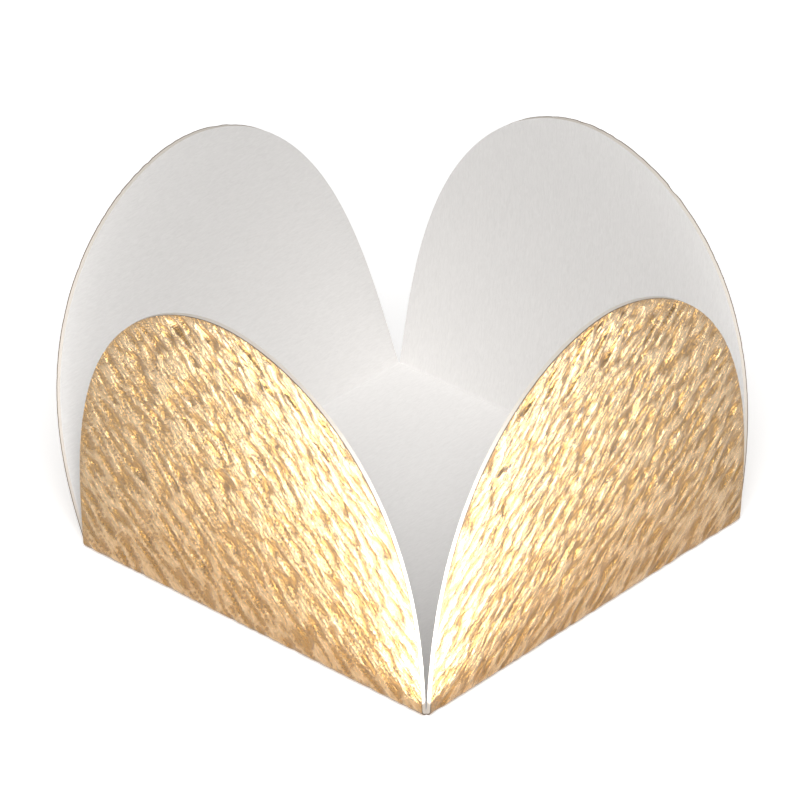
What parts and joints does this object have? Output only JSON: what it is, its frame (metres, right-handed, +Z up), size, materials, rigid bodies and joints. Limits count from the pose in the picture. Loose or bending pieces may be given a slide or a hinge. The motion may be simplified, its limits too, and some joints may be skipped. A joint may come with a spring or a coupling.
{
  "type": "mini paper candy cup",
  "caption": "Small open sweet cup folded from one piece of gold-faced card: square base, round-arched petal on each side.",
  "frame": {"origin": "middle of the base's underside, on the surface that the cup stands on", "axes": "+Z up out of the open top; X and Y square to the base's sides; the two upright petals stand at -X and -Y"},
  "size_m": [0.0396, 0.0419, 0.0262],
  "materials": {
    "gold_faced_card": "pale gold foil embossed with fine leaning wrinkles outside, matte white card inside, raw cut edge"
  },
  "bodies": {
    "root": {"folded_card_cup": "gold_faced_card"}
  },
  "joints": []
}
